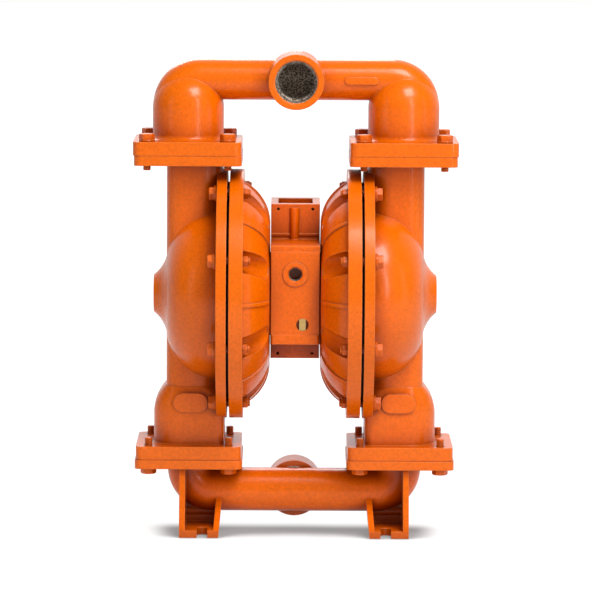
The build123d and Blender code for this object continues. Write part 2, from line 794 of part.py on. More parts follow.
def brass_plug():
    # Threaded disc with an upright tongue to turn it by.
    face = block_front_y + plug_inset
    shoulder = face + plug_tongue_length
    half = plug_tongue_width / 2
    tongue = rod_y(plug_radius, face, shoulder, plug_x, plug_height)
    tongue &= brick(plug_x - half, plug_x + half, face, shoulder, plug_height - plug_radius,
                    plug_height + plug_radius)
    return tongue + rod_y(plug_radius, shoulder, block_front_y + plug_depth, plug_x, plug_height)


def shaft_bushing():
    sleeve = rod_x(bushing_radius, air_floor_x - bushing_length, air_floor_x, z=shaft_height)
    return sleeve - rod_x(shaft_radius + running_gap, air_floor_x - bushing_length, air_floor_x,
                          z=shaft_height)


def pilot_sleeve():
    sleeve = rod_x(pilot_sleeve_radius, -air_floor_x, air_floor_x, z=pilot_height)
    return sleeve - rod_x(pilot_radius + running_gap, -air_floor_x, air_floor_x, z=pilot_height)


def pilot_spool():
    # Each end stays just clear of the inner piston when the shaft is fully across.
    piston_face = inner_piston_x - inner_piston_thickness
    reach = piston_face - stroke * (1 - pilot_ratio) - stop_gap
    spool = rod_x(pilot_radius, -reach, reach, z=pilot_height)
    for x in (-pilot_groove_x, pilot_groove_x):
        start = x - pilot_groove_width / 2
        end = x + pilot_groove_width / 2
        groove = rod_x(pilot_radius, start, end, z=pilot_height)
        spool -= groove - rod_x(pilot_radius - pilot_groove_depth, start, end, z=pilot_height)
    return spool


def diaphragm():
    face = diaphragm_hub_x + diaphragm_hub_thickness
    hub_radius = inner_piston_radius + diaphragm_hub_margin
    outline = Polyline(
        (air_rim_outer_x, diaphragm_bead_radius), (liquid_face_x, diaphragm_bead_radius),
        (liquid_face_x, diaphragm_flex_radius), (face, hub_radius),
        (face, shaft_radius + rest_gap), (diaphragm_hub_x, shaft_radius + rest_gap),
        (diaphragm_hub_x, hub_radius), (air_rim_outer_x, diaphragm_flex_radius),
        close=True)
    return turned_x(outline)


def inner_piston():
    back = inner_piston_x - inner_piston_thickness
    outline = Polyline(
        (back, shaft_radius + running_gap), (back, inner_piston_radius - inner_piston_back_inset),
        (inner_piston_x - inner_piston_edge, inner_piston_radius), (inner_piston_x, inner_piston_radius),
        (inner_piston_x, shaft_radius + running_gap), close=True)
    return turned_x(outline)


def outer_piston():
    nose = outer_piston_x + outer_piston_height
    shoulder = outer_piston_x + outer_piston_edge
    dome = bulged_arc((shoulder, outer_piston_radius), (nose, outer_piston_nose_radius),
                      outer_piston_bulge)
    edges = Polyline((nose, outer_piston_nose_radius), (nose, 0), (outer_piston_x, 0),
                     (outer_piston_x, outer_piston_radius), (shoulder, outer_piston_radius))
    body = turned_x(dome + edges)
    return body - rod_x(shaft_radius + running_gap, outer_piston_x,
                        outer_piston_x + shaft_thread_depth, z=shaft_height)


def diaphragm_shaft():
    return rod_x(shaft_radius, -shaft_end_x, shaft_end_x, z=shaft_height)


def valve_seat(joint_height, x):
    start = joint_height - seat_below_joint
    top = joint_height + seat_above_joint
    ring = rod_z(seat_radius, start, top, x) - rod_z(seat_bore_radius, start, top, x)
    ring -= Pos(x, 0, top + ball_above_seat) * Sphere(ball_radius + rest_gap)
    groove_bottom = joint_height + seal_rise
    groove = rod_z(seat_radius, groove_bottom, groove_bottom + seal_width, x)
    return ring - (groove - rod_z(seat_radius - seal_depth, groove_bottom,
                                  groove_bottom + seal_width, x))


def seat_seal(joint_height, x):
    bottom = joint_height + seal_rise
    ring = rod_z(seat_radius, bottom, bottom + seal_width, x)
    return ring - rod_z(seat_radius - seal_depth, bottom, bottom + seal_width, x)


def valve_ball(joint_height, x):
    return Pos(x, 0, joint_height + seat_above_joint + ball_above_seat) * Sphere(ball_radius)


def rim_bolts():
    bolts = []
    tip = air_back_x - nut_height - rim_bolt_stub
    under_head = liquid_back_x + rim_washer_height
    for y, z in rim_bolt_places():
        bolt = rod_x(rim_bolt_radius, tip, under_head, y, z)
        bolt += rod_x(washer_radius, liquid_back_x, under_head, y, z)
        bolt += hex_x(rim_head_flats, under_head, under_head + rim_head_height, y, z)
        bolts.append(bolt)
    return Compound(children=bolts)


def rim_nuts():
    nuts = []
    for y, z in rim_bolt_places():
        nut = hex_x(nut_flats, air_back_x - nut_height, air_back_x, y, z)
        nuts.append(nut - rod_x(rim_bolt_radius, air_back_x - nut_height, air_back_x, y, z))
    return Compound(children=nuts)


def joint_bolts(x, head_height, head_face, tip):
    # Bolts of one manifold joint, with the head outside head_face and the end at tip.
    start, end = sorted((head_face, tip))
    out = 1 if head_face > tip else -1
    bolts = []
    for bolt_x, bolt_y in joint_bolt_places(x):
        bolt = rod_z(joint_bolt_radius, start, end, bolt_x, bolt_y)
        low, high = sorted((head_face, head_face + out * head_height))
        bolt += hex_z(joint_head_flats, low, high, bolt_x, bolt_y)
        low, high = sorted((head_face, head_face + out * washer_height))
        bolt += rod_z(washer_radius, low, high, bolt_x, bolt_y)
        bolts.append(bolt)
    return Compound(children=bolts)


def discharge_bolts():
    head_face = discharge_joint_height + discharge_flange_thickness
    tip = discharge_joint_height - column_flange_thickness - discharge_bolt_stub
    return joint_bolts(discharge_axis_x, discharge_head_height, head_face, tip)


def inlet_bolts():
    head_face = inlet_joint_height - inlet_flange_thickness
    tip = inlet_joint_height + cage_flange_thickness + inlet_bolt_stub
    return joint_bolts(wet_axis_x, inlet_head_height, head_face, tip)


def valve_mount_places():
    reach = valve_half_width - valve_screw_inset_x
    levels = (valve_bottom + valve_screw_inset_z, valve_top - valve_screw_inset_z)
    return [(sx * reach, z) for sx in (-1, 1) for z in levels]


def air_valve_gasket():
    sheet = brick(-valve_half_width, valve_half_width, block_rear_y, valve_face_y, valve_bottom,
                  valve_top)
    for side in (-1, 1):
        sheet -= rod_y(air_passage_radius, block_rear_y, valve_face_y,
                       z=shaft_height + side * air_passage_offset)
    for x, z in valve_mount_places():
        sheet -= rod_y(valve_screw_radius + slip_gap, block_rear_y, valve_face_y, x, z)
    return sheet


def air_valve_body():
    outline = RectangleRounded(2 * valve_half_width, valve_depth, valve_corner)
    body = Pos(0, valve_axis_y, valve_bottom) * extrude(outline, valve_top - valve_bottom)
    body += brick(-valve_half_width, valve_half_width, valve_face_y, valve_axis_y, valve_bottom,
                  valve_top)
    port_height = (valve_bottom + valve_top) / 2
    port_end = valve_rear_y + valve_port_boss_proud
    body += rod_y(valve_port_boss_radius, valve_axis_y, port_end, z=port_height)
    body -= rod_z(valve_bore_radius, valve_bottom, valve_top, 0, valve_axis_y)
    body -= rod_y(air_port_radius, valve_axis_y, port_end, z=port_height)
    for side in (-1, 1):
        body -= rod_y(air_passage_radius, valve_face_y, valve_axis_y,
                      z=shaft_height + side * air_passage_offset)
    for x, z in valve_mount_places():
        body -= rod_y(valve_screw_radius + slip_gap, valve_face_y, valve_rear_y, x, z)
    return body


def cap_screw_places():
    inset_x = valve_half_width - cap_screw_inset
    inset_y = valve_depth / 2 - cap_screw_inset
    return [(sx * inset_x, valve_axis_y + sy * inset_y) for sx in (-1, 1) for sy in (-1, 1)]


def air_valve_cap(face, out):
    # End cap with the heads of its four screws, on the side that out names.
    outline = RectangleRounded(2 * valve_half_width, valve_depth, valve_corner)
    start, end = sorted((face, face + out * valve_cap_thickness))
    cap = Pos(0, valve_axis_y, start) * extrude(outline, end - start)
    outside = face + out * valve_cap_thickness
    low, high = sorted((outside, outside + out * cap_screw_head_height))
    for x, y in cap_screw_places():
        cap += rod_z(valve_screw_head_radius, low, high, x, y)
    return cap


def air_valve_screws():
    screws = []
    for x, z in valve_mount_places():
        screw = rod_y(valve_screw_radius, block_rear_y - valve_screw_reach, valve_rear_y, x, z)
        screw += rod_y(valve_screw_head_radius, valve_rear_y,
                       valve_rear_y + valve_screw_head_height, x, z)
        screws.append(screw)
    return Compound(children=screws)


def air_valve_spool():
    radius = valve_bore_radius - running_gap
    bottom = valve_bottom + rest_gap
    top = valve_top - valve_spool_travel - rest_gap
    spool = rod_z(valve_spool_core_radius, bottom, top, 0, valve_axis_y)
    spacing = (top - bottom - land_width) / 3
    for index in range(4):
        start = bottom + index * spacing
        spool += rod_z(radius, start, start + land_width, 0, valve_axis_y)
    return spool


def name_pair(name, right):
    return {"right_" + name: right, "left_" + name: mirror(right, about=Plane.YZ)}


def all_parts():
    parts = {
        "discharge_manifold": discharge_manifold(),
        "inlet_manifold": inlet_manifold(),
        "center_block": center_block(),
        "brass_plug": brass_plug(),
        "diaphragm_shaft": diaphragm_shaft(),
        "pilot_sleeve": pilot_sleeve(),
        "pilot_spool": pilot_spool(),
        "air_valve_gasket": air_valve_gasket(),
        "air_valve_body": air_valve_body(),
        "air_valve_top_cap": air_valve_cap(valve_top, 1),
        "air_valve_bottom_cap": air_valve_cap(valve_bottom, -1),
        "air_valve_screws": air_valve_screws(),
        "air_valve_spool": air_valve_spool(),
        "right_air_chamber": air_chamber(1),
        "left_air_chamber": mirror(air_chamber(-1), about=Plane.YZ),
        "right_air_chamber_gasket": air_chamber_gasket(1),
        "left_air_chamber_gasket": mirror(air_chamber_gasket(-1), about=Plane.YZ),
    }
    parts |= name_pair("liquid_chamber", liquid_chamber())
    parts |= name_pair("diaphragm", diaphragm())
    parts |= name_pair("inner_piston", inner_piston())
    parts |= name_pair("outer_piston", outer_piston())
    parts |= name_pair("shaft_bushing", shaft_bushing())
    parts |= name_pair("air_chamber_screws", air_chamber_screws())
    parts |= name_pair("rim_bolts", rim_bolts())
    parts |= name_pair("rim_nuts", rim_nuts())
    parts |= name_pair("discharge_bolts", discharge_bolts())
    parts |= name_pair("inlet_bolts", inlet_bolts())
    for level, joint, x in (("discharge", discharge_joint_height, discharge_axis_x),
                            ("inlet", inlet_joint_height, wet_axis_x)):
        parts |= name_pair(level + "_ball", valve_ball(joint, x))
        parts |= name_pair(level + "_seat", valve_seat(joint, x))
        parts |= name_pair(level + "_seat_seal", seat_seal(joint, x))
    return parts


os.makedirs("parts", exist_ok=True)
for node, shape in all_parts().items():
    export_step(shape, "parts/" + node + ".step")
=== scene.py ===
# %% [markdown]
# # Dressing an air operated diaphragm pump
#
# The pump is already modelled at its real size. This lesson gives it paint, bare metal,
# rubber, pipe threads, a camera and light. It starts by loading the solids as a fixed frame,
# so that nothing here has to be fitted by eye. One Blender unit is one metre.

# %% Load the frame
import json
from math import cos, radians, sin, tan, tau

import bpy
from mathutils import Matrix, Vector


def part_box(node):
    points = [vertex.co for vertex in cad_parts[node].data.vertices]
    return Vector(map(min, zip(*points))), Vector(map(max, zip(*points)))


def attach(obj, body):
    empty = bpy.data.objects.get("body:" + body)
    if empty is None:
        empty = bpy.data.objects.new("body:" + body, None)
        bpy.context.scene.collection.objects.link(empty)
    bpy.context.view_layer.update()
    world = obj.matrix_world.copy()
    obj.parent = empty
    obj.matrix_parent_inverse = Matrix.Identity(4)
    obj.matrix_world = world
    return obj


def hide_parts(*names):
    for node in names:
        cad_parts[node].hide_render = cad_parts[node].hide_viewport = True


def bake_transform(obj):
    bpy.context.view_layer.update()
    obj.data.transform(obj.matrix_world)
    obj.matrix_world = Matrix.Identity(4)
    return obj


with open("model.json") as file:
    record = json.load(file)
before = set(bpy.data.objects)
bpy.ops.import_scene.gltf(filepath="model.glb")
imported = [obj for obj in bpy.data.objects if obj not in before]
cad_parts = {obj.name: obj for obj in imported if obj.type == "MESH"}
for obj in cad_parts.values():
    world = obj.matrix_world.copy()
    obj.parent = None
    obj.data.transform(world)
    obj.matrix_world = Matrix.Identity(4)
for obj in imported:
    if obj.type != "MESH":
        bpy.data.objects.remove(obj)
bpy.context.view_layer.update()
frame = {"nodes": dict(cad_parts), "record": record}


# %% [markdown]
# ## The camera
#
# A pump this tall is photographed from far away with a long lens, so that its two halves
# look alike and its flanges stay square. The camera stands almost level with the middle of
# the pump, a little above it, and is tipped by a third of a degree, as in the picture.
# The picture is square, 591 pixels wide.

# %% Camera
picture_width = 591
focal_pixels = 4100.0
sensor_width = 36.0
camera_distance = 5.707
camera_elevation = radians(6.5)
camera_azimuth = radians(-0.1)
camera_roll = radians(0.33)
look_at = Vector((0.0006, 0.0, 0.3282))

camera_data = bpy.data.cameras.new("long_lens")
camera_data.sensor_width = sensor_width
camera_data.lens = focal_pixels / picture_width * sensor_width
camera_data.clip_end = 50.0
camera = bpy.data.objects.new("camera", camera_data)
bpy.context.scene.collection.objects.link(camera)
backward = Vector((sin(camera_azimuth) * cos(camera_elevation),
                   -cos(camera_azimuth) * cos(camera_elevation), sin(camera_elevation)))
camera.location = look_at + camera_distance * backward
camera.rotation_mode = "QUATERNION"
facing = (-backward).to_track_quat("-Z", "Y")
camera.rotation_quaternion = facing @ Matrix.Rotation(camera_roll, 3, "Z").to_quaternion()
bpy.context.scene.camera = camera
print("lens", round(camera_data.lens, 1), "mm, camera at",
      tuple(round(v, 3) for v in camera.location))

# %% [markdown]
# ## Small helpers for materials
#
# Colours are written as the sRGB hex values that a paint chart gives, and one function turns
# them into the linear values that Blender mixes. Another adds a node, sets its inputs by
# name and links others to it, so that each material below reads as a short recipe.


# %% Colour and node helpers
def paint_chart(code):
    channels = [int(code[i:i + 2], 16) / 255 for i in (1, 3, 5)]
    linear = [c / 12.92 if c <= 0.04045 else ((c + 0.055) / 1.055) ** 2.4 for c in channels]
    return (*linear, 1.0)


def add(material, kind, settings=None, **inputs):
    # Adds a node. An input given as another node's output is linked, any other value is set.
    node = material.node_tree.nodes.new(kind)
    for name, value in (settings or {}).items():
        setattr(node, name, value)
    for name, value in inputs.items():
        key = int(name[3:]) if name.startswith("in_") else name.replace("_", " ")
        if isinstance(value, bpy.types.NodeSocket):
            material.node_tree.links.new(value, node.inputs[key])
        else:
            node.inputs[key].default_value = value
    return node


def new_material(name):
    material = bpy.data.materials.new(name)
    material.use_nodes = True
    material.node_tree.nodes.clear()
    return material


def finish_with(material, shader):
    output = material.node_tree.nodes.new("ShaderNodeOutputMaterial")
    material.node_tree.links.new(shader.outputs[0], output.inputs["Surface"])
    return material


millimetre = 0.001
print("orange on the chart", [round(c, 3) for c in paint_chart("#EB6900")])

# %% [markdown]
# ## Orange enamel over sand-cast iron
#
# The castings are poured in sand, shot-blasted and sprayed with one coat of alkyd enamel.
# The paint is smooth and half glossy, but it follows the grain of the sand, so highlights
# break up a little. The grain is drawn with noise on two scales: a shallow wave of the
# casting, and the sand. Real moulding sand is 0.2 to 0.4 mm across, too fine to show at
# this distance, so it is drawn about 2 mm wide.

# %% Grain of the enamel
sand_grain = 2.2 * millimetre
casting_wave = 18.0 * millimetre


def enamel_normal(material, softened, grain_height):
    place = add(material, "ShaderNodeTexCoord").outputs["Object"]
    wave = add(material, "ShaderNodeTexNoise", Vector=place, Scale=1 / casting_wave, Detail=2.0)
    grain = add(material, "ShaderNodeTexNoise", Vector=place, Scale=1 / sand_grain, Detail=3.0)
    broad = add(material, "ShaderNodeBump", Strength=0.4, Distance=0.6 * millimetre,
                Height=wave.outputs["Fac"], Normal=softened)
    return add(material, "ShaderNodeBump", Strength=0.5, Distance=grain_height,
               Height=grain.outputs["Fac"], Normal=broad.outputs[0]).outputs[0]


print("grain", sand_grain, "m, wave", casting_wave, "m")

# %% [markdown]
# ## Painted shade in corners, thin paint and painted highlights on edges
#
# Corners are darkened with painted shade: ambient occlusion finds the corners, and there the colour
# turns towards a deep brown. Sprayed paint is a little thinner and lighter on edges, and the pale
# edge tone is mostly a painted highlight, standing in for the sheen of rounded edges. For the
# edges, a softened normal is compared with the face's own: where the two part, there is an edge,
# and the pale tone goes there. Fine specks of tone, drawn 4 mm wide so that they show, keep the
# coat from looking flat; they use the same deep brown at random.

# %% Tone of the enamel
paint_speck = 4.0 * millimetre
corner_shade_reach = 40.0 * millimetre


def thin_paint_and_edge_highlight(material, softened, thin_and_highlight):
    # Reaches the pale edge tone, thin paint with a painted highlight, on a sharp edge, where the
    # rounded normal turns away from the face's own.
    face = add(material, "ShaderNodeNewGeometry").outputs["Normal"]
    agree = add(material, "ShaderNodeVectorMath", {"operation": "DOT_PRODUCT"}, in_0=softened,
                in_1=face)
    return add(material, "ShaderNodeMapRange", Value=agree.outputs["Value"], in_1=0.98, in_2=0.80,
               in_3=0.0, in_4=thin_and_highlight).outputs[0]


def enamel_colour(material, softened, thin_and_highlight, chart_code, shade_and_tone_code, thin_and_highlight_code):
    place = add(material, "ShaderNodeTexCoord").outputs["Object"]
    # Ambient occlusion finds the corners, where the colour is darkened as painted shade.
    corner = add(material, "ShaderNodeAmbientOcclusion", {"samples": 8}, Distance=corner_shade_reach)
    cloud = add(material, "ShaderNodeTexNoise", Vector=place, Scale=1 / paint_speck, Detail=4.0,
                Roughness=0.7)
    # depth is painted shade from the ambient occlusion, not a depth of paint.
    depth = add(material, "ShaderNodeMapRange", Value=corner.outputs["AO"], in_1=0.30, in_2=0.90)
    tone = add(material, "ShaderNodeMapRange", Value=cloud.outputs["Fac"], in_1=0.35, in_2=0.62,
               in_3=0.72, in_4=1.0)
    amount = add(material, "ShaderNodeMath", {"operation": "MULTIPLY"}, in_0=depth.outputs[0],
                 in_1=tone.outputs[0])
    coat = add(material, "ShaderNodeMix", {"data_type": "RGBA"}, in_0=amount.outputs[0],
               in_6=paint_chart(shade_and_tone_code), in_7=paint_chart(chart_code))
    return add(material, "ShaderNodeMix", {"data_type": "RGBA"},
               in_0=thin_paint_and_edge_highlight(material, softened, thin_and_highlight), in_6=coat.outputs[2],
               in_7=paint_chart(thin_and_highlight_code)).outputs[2]


print("corners deepen within", corner_shade_reach, "m")

# %% [markdown]
# ## The coat itself
#
# One function mixes the coat from its grain, its tone and a dielectric's gloss. A bevel
# node softens the sharp edges of the solids, as paint does, and leaves their meshes alone.
# The castings have the full grain. Bolts are forged smooth and have almost none.

# %% Enamel
edge_round = 1.8 * millimetre
enamel_ior = 1.5
# The second value of each pair sets how pale the edges get: a little thin paint and mostly painted
# highlight.
casting_grain, casting_thin_and_highlight = 0.24 * millimetre, 0.38
forged_grain, forged_thin_and_highlight = 0.02 * millimetre, 0.1


def orange_enamel(name, grain_height, thin_and_highlight):
    material = new_material(name)
    softened = add(material, "ShaderNodeBevel", {"samples": 6}, Radius=edge_round).outputs[0]
    # The deep brown is the painted shade in corners and the random dark specks; the pale colour is
    # the edge tone, thin paint with a painted highlight.
    colour = enamel_colour(material, softened, thin_and_highlight, "#EB6900", "#983C00", "#F89A5C")
    shader = add(material, "ShaderNodeBsdfPrincipled", Base_Color=colour, Roughness=0.26,
                 IOR=enamel_ior, Specular_IOR_Level=0.26, Coat_Weight=0.12, Coat_Roughness=0.14,
                 Normal=enamel_normal(material, softened, grain_height))
    return finish_with(material, shader)


enamel_on_casting = orange_enamel("orange_enamel_on_cast_iron", casting_grain, casting_thin_and_highlight)
enamel_on_bolts = orange_enamel("orange_enamel_on_bolts", forged_grain, forged_thin_and_highlight)
print("edges softened by", edge_round, "m")

# %% [markdown]
# ## Bare iron inside the ports
#
# The ports are bored and threaded after casting and are masked when the pump is sprayed.
# Their walls stay bare: dark, speckled iron with a thin film of oil. The crystals of cast
# iron are far finer than a pixel, so its specks are drawn 2.4 mm wide.

# %% Bare iron
iron_speck = 2.4 * millimetre


def bare_iron(material, dark_code, chart_code):
    place = add(material, "ShaderNodeTexCoord").outputs["Object"]
    speck = add(material, "ShaderNodeTexNoise", Vector=place, Scale=1 / iron_speck, Detail=4.0)
    spots = add(material, "ShaderNodeMapRange", Value=speck.outputs["Fac"], in_1=0.40, in_2=0.62)
    colour = add(material, "ShaderNodeMix", {"data_type": "RGBA"}, in_0=spots.outputs[0],
                 in_6=paint_chart(dark_code), in_7=paint_chart(chart_code))
    rough = add(material, "ShaderNodeBump", Strength=0.6, Distance=0.2 * millimetre,
                Height=speck.outputs["Fac"])
    return add(material, "ShaderNodeBsdfPrincipled", Base_Color=colour.outputs[2], Metallic=0.3,
               Roughness=0.5, Normal=rough.outputs[0])


print("specks", iron_speck, "m")

# %% [markdown]
# ## Two finishes on one piece
#
# One casting has both finishes, and cutting it in two would leave a seam. Its material
# chooses by place instead: a mask is 1 near a line, or between two planes, and the bare
# metal shows where the mask is 1.


# %% Masks by place
def near_line(material, axis, center, radius):
    # 1 inside a cylinder about a line through center, 0 outside.
    place = add(material, "ShaderNodeTexCoord").outputs["Object"]
    flat = Vector([0.0 if index == axis else 1.0 for index in range(3)])
    moved = add(material, "ShaderNodeVectorMath", {"operation": "SUBTRACT"}, in_0=place,
                in_1=center)
    pressed = add(material, "ShaderNodeVectorMath", {"operation": "MULTIPLY"},
                  in_0=moved.outputs[0], in_1=flat)
    reach = add(material, "ShaderNodeVectorMath", {"operation": "LENGTH"}, in_0=pressed.outputs[0])
    return add(material, "ShaderNodeMath", {"operation": "LESS_THAN"},
               in_0=reach.outputs["Value"], in_1=radius).outputs[0]


def within(material, axis, low, high):
    # 1 where the place along an axis lies between low and high, 0 elsewhere.
    place = add(material, "ShaderNodeTexCoord").outputs["Object"]
    split = add(material, "ShaderNodeSeparateXYZ", Vector=place)
    return add(material, "ShaderNodeMath", {"operation": "COMPARE"}, in_0=split.outputs[axis],
               in_1=(low + high) / 2, in_2=(high - low) / 2).outputs[0]


def bare_where(material, mask, bare):
    # Shows the bare metal instead of the paint where the mask is 1.
    output = next(n for n in material.node_tree.nodes if n.type == "OUTPUT_MATERIAL")
    paint = output.inputs["Surface"].links[0].from_socket
    mixed = add(material, "ShaderNodeMixShader", in_0=mask, in_1=paint, in_2=bare.outputs[0])
    material.node_tree.links.new(mixed.outputs[0], output.inputs["Surface"])
    return material


mounts = {mount["name"]: mount for mount in frame["record"]["mounts"]}
discharge_axis_height = mounts["discharge_port"]["pos_m"][2]
inlet_axis_height = mounts["inlet_port"]["pos_m"][2]
print("ports at heights", discharge_axis_height, inlet_axis_height)

# %% [markdown]
# ## Manifolds, bare inside
#
# Within a bore's radius of the cross tube's axis, and of the port's, a manifold is bare.
# Everywhere else it is painted, and so is the chamfer at the mouth, which the spray reaches.

# %% Painted casting with bare bores
tube_bore_reach = 23.5 * millimetre
port_bore_reach = 31.2 * millimetre
bare_mouth = 63.3 * millimetre


def ported_enamel(name, axis_height, bore_end, out):
    # The cross tube is bare inside up to bore_end, and the port from the tube to its mouth.
    material = orange_enamel(name, casting_grain, casting_thin_and_highlight)
    center = (0.0, 0.0, axis_height)
    tube = add(material, "ShaderNodeMath", {"operation": "MULTIPLY"},
               in_0=near_line(material, 0, center, tube_bore_reach),
               in_1=within(material, "X", -bore_end, bore_end))
    low, high = sorted((0.0, out * bare_mouth))
    port = add(material, "ShaderNodeMath", {"operation": "MULTIPLY"},
               in_0=near_line(material, 1, center, port_bore_reach),
               in_1=within(material, "Y", low, high))
    bare = add(material, "ShaderNodeMath", {"operation": "MAXIMUM"}, in_0=tube.outputs[0],
               in_1=port.outputs[0])
    return bare_where(material, bare.outputs[0], bare_iron(material, "#6A5443", "#F2E2D0"))


discharge_bore_end, inlet_bore_end = 0.12, 0.10
discharge_casting = ported_enamel("orange_enamel_with_bare_front_port", discharge_axis_height,
                                  discharge_bore_end, -1)
inlet_casting = ported_enamel("orange_enamel_with_bare_rear_port", inlet_axis_height,
                              inlet_bore_end, 1)
print("bare up to", bare_mouth, "m from the axis")

# %% [markdown]
# ## Rubber
#
# The diaphragms, balls and seals are moulded rubber: black and matt, with a fine bloom,
# which is the pale film that rubber sweats out. Noise draws it in soft clouds 3 mm wide.

# %% Moulded rubber
rubber_bloom = 3.0 * millimetre


def moulded_rubber(name, chart_code):
    material = new_material(name)
    place = add(material, "ShaderNodeTexCoord").outputs["Object"]
    bloom = add(material, "ShaderNodeTexNoise", Vector=place, Scale=1 / rubber_bloom, Detail=3.0)
    colour = add(material, "ShaderNodeMix", {"data_type": "RGBA"}, in_0=bloom.outputs["Fac"],
                 in_6=paint_chart(chart_code), in_7=paint_chart("#2B2A29"))
    bump = add(material, "ShaderNodeBump", Strength=0.2, Distance=0.1 * millimetre,
               Height=bloom.outputs["Fac"])
    shader = add(material, "ShaderNodeBsdfPrincipled", Base_Color=colour.outputs[2], Roughness=0.62,
                 IOR=1.52, Normal=bump.outputs[0])
    return finish_with(material, shader)


print("bloom", rubber_bloom, "m")

# %% [markdown]
# ## Turned bronze, brass, steel and aluminium
#
# Turned metal keeps the marks of the tool, rings a fraction of a millimetre apart, which
# stretch the highlight. They are drawn as a fine noise squeezed along the axis on which
# the piece was turned.

# %% Turned metal
tool_mark = 0.6 * millimetre
mark_stretch = 40
along_x, along_z = 0, 2


def turned_shader(material, chart_code, dark_code, roughness, axis):
    place = add(material, "ShaderNodeTexCoord").outputs["Object"]
    squeeze = [1 / (mark_stretch * tool_mark)] * 3
    squeeze[axis] = 1 / tool_mark
    marks = add(material, "ShaderNodeMapping", Vector=place, Scale=squeeze)
    rings = add(material, "ShaderNodeTexNoise", Vector=marks.outputs[0], Scale=1.0, Detail=2.0)
    colour = add(material, "ShaderNodeMix", {"data_type": "RGBA"}, in_0=rings.outputs["Fac"],
                 in_6=paint_chart(dark_code), in_7=paint_chart(chart_code))
    bump = add(material, "ShaderNodeBump", Strength=0.3, Distance=0.03 * millimetre,
               Height=rings.outputs["Fac"])
    return add(material, "ShaderNodeBsdfPrincipled", Base_Color=colour.outputs[2], Metallic=1.0,
               Roughness=roughness, Normal=bump.outputs[0])


def turned_metal(name, *recipe):
    material = new_material(name)
    return finish_with(material, turned_shader(material, *recipe))


print("tool marks", tool_mark, "m apart")

# %% [markdown]
# ## A finish for each slot
#
# The frame's record gives every solid a material slot. The brass plug is fitted before the
# block is sprayed, so only its tongue is bare. The two manifolds have a finish of their own.


# %% Finishes
def sprayed_plug(name, tongue_start, tongue_end):
    # The plug is sprayed with the block, and its tongue is wiped back to brass.
    material = orange_enamel(name, forged_grain, forged_thin_and_highlight)
    brass = turned_shader(material, "#F4D08C", "#C89A56", 0.32, along_z)
    return bare_where(material, within(material, "Y", tongue_start, tongue_end), brass)


plug_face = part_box("brass_plug")[0][1]
tongue_length = 4.5 * millimetre
slot_materials = {
    "orange_casting": enamel_on_casting,
    "painted_fastener": enamel_on_bolts,
    "gasket_rubber": moulded_rubber("black_nitrile_sheet", "#151413"),
    "diaphragm_rubber": moulded_rubber("black_diaphragm_rubber", "#121110"),
    "ball_rubber": moulded_rubber("black_ball_rubber", "#1D1B1A"),
    "bearing_bronze": turned_metal("turned_bearing_bronze", "#B98D56", "#8E6A3C", 0.35, along_x),
    "brass_plug": sprayed_plug("sprayed_plug_with_brass_tongue",
                               plug_face - millimetre, plug_face + tongue_length),
    "zinc_steel": turned_metal("zinc_plated_steel", "#C9C8C4", "#A9A8A4", 0.38, along_x),
    "seat_steel": turned_metal("turned_steel", "#C4C3C1", "#9C9B99", 0.30, along_x),
    "valve_aluminium": turned_metal("turned_aluminium", "#D6D6D6", "#B4B4B4", 0.35, along_z),
    "piston_aluminium": turned_metal("cast_turned_aluminium", "#CFCFCE", "#A8A8A7", 0.42, along_x),
}
node_materials = {"discharge_manifold": discharge_casting, "inlet_manifold": inlet_casting}
node_slots = {part["node"]: part["material_slot"] for part in frame["record"]["subparts"]}
for name, solid in frame["nodes"].items():
    material = node_materials.get(name, slot_materials[node_slots[name]])
    for index in range(len(solid.material_slots)):
        solid.material_slots[index].material = material
print("finishes", len(slot_materials) + len(node_materials))

# %% [markdown]
# ## Pipe threads
#
# A pipe thread is a helix with flanks at 55 or 60 degrees, cut into the wall of the bore.
# It could be a screw modifier on a small profile, but a short loop that walks round the
# bore shows what a helix is: one turn in angle is one pitch in depth. The profile has a
# root, a crest and a root again, so each turn joins the next.

# %% Thread piece
crest_half = 0.06


def thread_mesh(name, wall_radius, pitch, depth, length, steps=64):
    # A helix about +Z that starts at the mouth, z = 0, and goes down to -length.
    turns = int(length / pitch)
    profile = ((0.0, 0.0), (0.5 - crest_half, depth), (0.5 + crest_half, depth))
    vertices = []
    for step in range(turns * steps + 1):
        angle = tau * step / steps
        for share, height in profile + ((1.0, 0.0),):
            z = -pitch * (step / steps + share)
            radius = wall_radius - height
            vertices.append((radius * cos(angle), radius * sin(angle), max(z, -length)))
    faces = []
    for step in range(turns * steps):
        first = 4 * step
        for side in range(3):
            faces.append((first + side, first + side + 4, first + side + 5, first + side + 1))
    mesh = bpy.data.meshes.new(name)
    mesh.from_pydata(vertices, [], faces)
    mesh.shade_smooth()
    piece = bpy.data.objects.new(name, mesh)
    bpy.context.scene.collection.objects.link(piece)
    return piece


def stand_on(piece, mouth, out):
    # Turns the piece so that its +Z points out of the mouth, and moves it there.
    turn = Vector(out).to_track_quat("Z", "Y").to_matrix().to_4x4()
    piece.data.transform(Matrix.Translation(mouth) @ turn)


print("crest", 2 * crest_half, "of a pitch")

# %% [markdown]
# ## Threads in the four ports
#
# The two large ports are pipe threads of 11.5 turns to the inch, the two air ports have 14.
# The frame's record says where each port is, how wide and how deep, so a thread starts at
# its mouth, under the chamfer, and ends with the bore.

